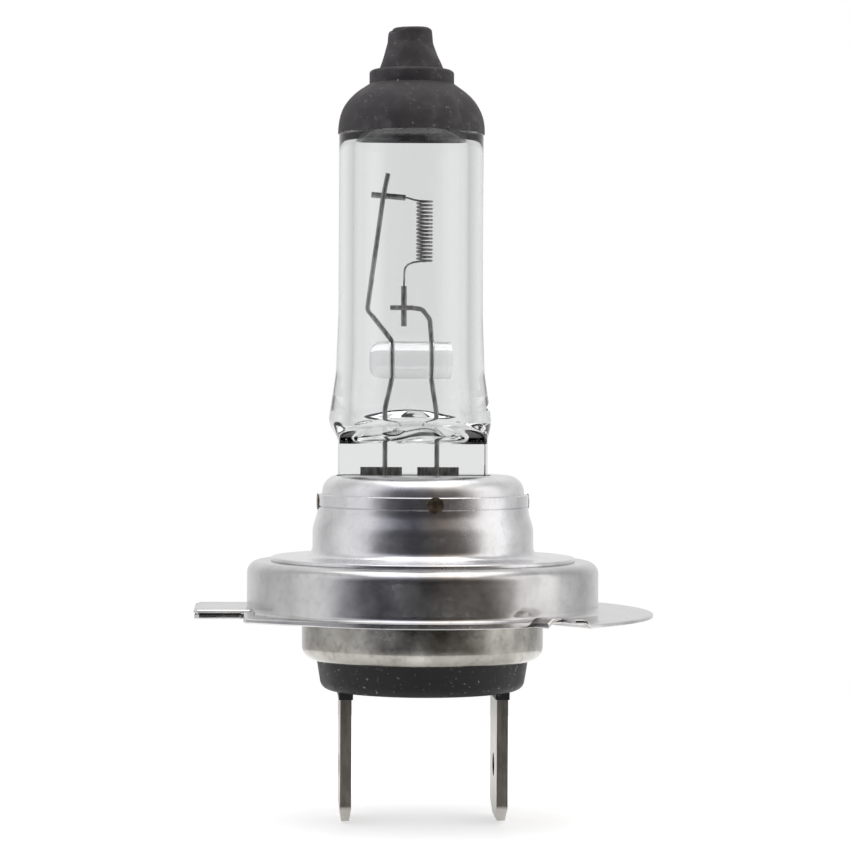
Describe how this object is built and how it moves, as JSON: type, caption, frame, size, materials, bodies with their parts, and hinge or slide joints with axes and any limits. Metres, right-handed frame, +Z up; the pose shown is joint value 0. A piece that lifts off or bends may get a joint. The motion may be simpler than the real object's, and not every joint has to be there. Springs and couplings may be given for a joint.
{
  "type": "headlight bulb",
  "caption": "Halogen headlight bulb: glass burner with black tip and coiled filament on a flanged steel prefocus cap with flat contact blades.",
  "frame": {"origin": "on the lamp's axis in the reference plane, which the tops of the cap's three bosses define", "axes": "+Z up the lamp's axis to the glass tip, +X from the reference lug towards the wide lobe of the flange, through both contact blades"},
  "size_m": [0.0332, 0.0264, 0.0571],
  "materials": {
    "quartz_glass": "clear fused quartz",
    "black_coating": "matte heat-proof black paint",
    "tungsten": "drawn tungsten wire",
    "molybdenum": "drawn molybdenum wire",
    "holder_steel": "drawn bright stainless steel",
    "spring_steel": "stamped spring steel",
    "sleeve_steel": "turned satin stainless steel",
    "weld_metal": "heat-tinted laser weld",
    "ring_steel": "pressed satin stainless steel",
    "shell_steel": "deep-drawn stainless steel, grainy",
    "insulator": "moulded black thermoset",
    "tinned_blade": "tinned copper alloy strip"
  },
  "bodies": {
    "root": {"glass_envelope": "quartz_glass", "anti_glare_coating": "black_coating", "filament": "tungsten", "upper_leg_sleeve": "molybdenum", "lower_leg_sleeve": "molybdenum", "long_support_wire": "molybdenum", "short_support_wire": "molybdenum", "quartz_bridge": "quartz_glass", "foil_left": "molybdenum", "foil_right": "molybdenum", "outer_lead_left": "molybdenum", "outer_lead_right": "molybdenum", "burner_holder": "holder_steel", "pinch_clip": "spring_steel", "focus_sleeve": "sleeve_steel", "sleeve_weld_spots": "weld_metal", "prefocus_ring": "ring_steel", "base_shell": "shell_steel", "insulator_base": "insulator", "contact_blade_left": "tinned_blade", "contact_blade_right": "tinned_blade"}
  },
  "joints": []
}
